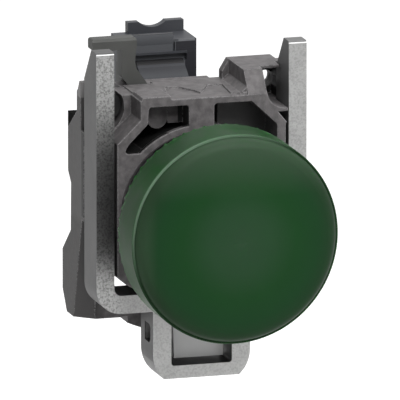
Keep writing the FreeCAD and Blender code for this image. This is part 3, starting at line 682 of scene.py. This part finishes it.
# %% Levers, seals, screws and electronics
latch_paint = finish("latch_black", grey(0.016), grey(0.020), 0.7, 3 * MM, 0.3 * MM, 0.01 * MM,
                     specular=0.0)[0]
rubber_paint = plain("seal_rubber", (0.016, 0.016, 0.017), 0.75)
screw_paint = plain("screw_steel", (0.52, 0.52, 0.50), 0.32, 0.08, metallic=1.0)
brass_paint = plain("tinned_brass", (0.55, 0.45, 0.26), 0.35, 0.08, metallic=1.0)
small_finishes = {
    "lock_lever": plain("lever_grey", (0.062, 0.063, 0.060), 0.6),
    "guide_plate": plain("guide_grey", grey(0.42), 0.5, 0.04),
    "side_latch": latch_paint,
    "rectifier": plain("black_moulding", grey(0.018), 0.5),
    "panel_gasket": rubber_paint,
    "lens_seal": rubber_paint,
    "head_barrel": plain("barrel_grey", (0.05, 0.05, 0.052), 0.5),
    "clamp_screw": plain("black_oxide", grey(0.03), 0.45, 0.15, metallic=0.5),
    "clamp_washer_top": screw_paint,
    "clamp_washer_bottom": screw_paint,
    "terminal_screw_top": screw_paint,
    "terminal_screw_bottom": screw_paint,
    "terminal_plate_top": brass_paint,
    "terminal_plate_bottom": brass_paint,
    "circuit_board": plain("board_green", (0.03, 0.14, 0.07), 0.4),
    "led_lamp": plain("lamp_milky", (0.70, 0.74, 0.70), 0.35, 0.05),
    "resistor": plain("resistor_lacquer", (0.45, 0.36, 0.22), 0.45),
    "light_pipe": plain("pipe_milky", (0.66, 0.70, 0.66), 0.35, 0.05),
}
for node, paint in small_finishes.items():
    dress(node, paint)
print("finishes", len(bpy.data.materials))

# %% [markdown]
# The empty right pocket has a boss behind its wall, for a second clamp screw. It is a short tube
# around the pocket's hole. Two cylinders could be cut from each other, but an open cylinder that
# gets its wall inwards from Solidify keeps tube and bore on one axis. Bevel rounds its ends.

# %% Screw boss behind the right pocket
boss_radius = 2.2 * MM
boss_bore = 1.15 * MM
boss_length = 1.6 * MM
boss_sink = 0.05 * MM
boss_rounding = 0.15 * MM
pocket_wall_rear = 19.8 * MM
boss_x, boss_z = 11.9 * MM, 16.4 * MM
smooth_below = math.radians(35)
bpy.ops.object.select_all(action="DESELECT")
bpy.ops.mesh.primitive_cylinder_add(
    vertices=64, radius=boss_radius, depth=boss_length, end_fill_type="NOTHING")
boss = bpy.context.object
boss.name = "pocket_screw_boss"
boss.rotation_euler = (math.radians(90), 0, 0)
boss.location = (boss_x, pocket_wall_rear + boss_length / 2 - boss_sink, boss_z)
bpy.ops.object.transform_apply(location=True, rotation=True, scale=True)
wall = boss.modifiers.new("wall", "SOLIDIFY")
wall.thickness = boss_radius - boss_bore
wall.offset = -1.0
bpy.ops.object.modifier_apply(modifier=wall.name)
edge = boss.modifiers.new("edge", "BEVEL")
edge.width = boss_rounding
edge.segments = 2
edge.limit_method = "ANGLE"
bpy.ops.object.modifier_apply(modifier=edge.name)
bpy.ops.object.shade_smooth_by_angle(angle=smooth_below)
boss.data.materials.append(plain("boss_grey", (0.16, 0.155, 0.157), 0.55, 0.2))
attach(boss, "collar")
print("boss", len(boss.data.polygons), "faces")

# %% [markdown]
# The upper terminal tower carries a thin front lip that stands a little over its top. It is a
# box, given its size at once and then rounded on all its edges, because a sharp edge catches no
# light. Its top gets painted shade, darker than its front, from a box that starts just under the
# top.

# %% Front lip of the upper tower
housing_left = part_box("block_housing")[0][0]
tower_front = 29.0 * MM
tower_top = 20.2 * MM
lip_left, lip_right = housing_left + 1.6 * MM, 1.9 * MM
lip_low, lip_high = tower_top - 0.6 * MM, tower_top + 0.9 * MM
lip_thickness = 0.8 * MM
lip_proud = 0.02 * MM
lip_rounding = 0.05 * MM
lip_top_depth = 0.06 * MM
lip_top_fade = 0.02
lip_top_shade_tone = (0.022, 0.023, 0.027)
lip_middle = tower_front - lip_proud + lip_thickness / 2
lip_place = ((lip_left + lip_right) / 2, lip_middle, (lip_low + lip_high) / 2)
bpy.ops.object.select_all(action="DESELECT")
bpy.ops.mesh.primitive_cube_add(size=1.0, location=lip_place)
lip = bpy.context.object
lip.name = "tower_front_lip"
lip.scale = (lip_right - lip_left, lip_thickness, lip_high - lip_low)
bpy.ops.object.transform_apply(location=True, rotation=True, scale=True)
edge = lip.modifiers.new("edge", "BEVEL")
edge.width = lip_rounding
edge.segments = 2
bpy.ops.object.modifier_apply(modifier=edge.name)
bpy.ops.object.shade_smooth_by_angle(angle=smooth_below)


def lip_dark():
    paint, parts = finish("lip_dark", (0.066, 0.069, 0.076), (0.074, 0.077, 0.084),
                          0.5, 4 * MM, 0.3 * MM, 0.01 * MM)
    low = Vector((lip_left - MM, tower_front - MM, lip_high - lip_top_depth)) / MM
    high = Vector((lip_right + MM, tower_front + lip_thickness + MM, lip_high + MM)) / MM
    tone_inside(paint, parts, low, high, lip_top_shade_tone, lip_top_fade)
    return paint


lip.data.materials.append(lip_dark())
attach(lip, "collar")
print("lip", len(lip.data.polygons), "faces")
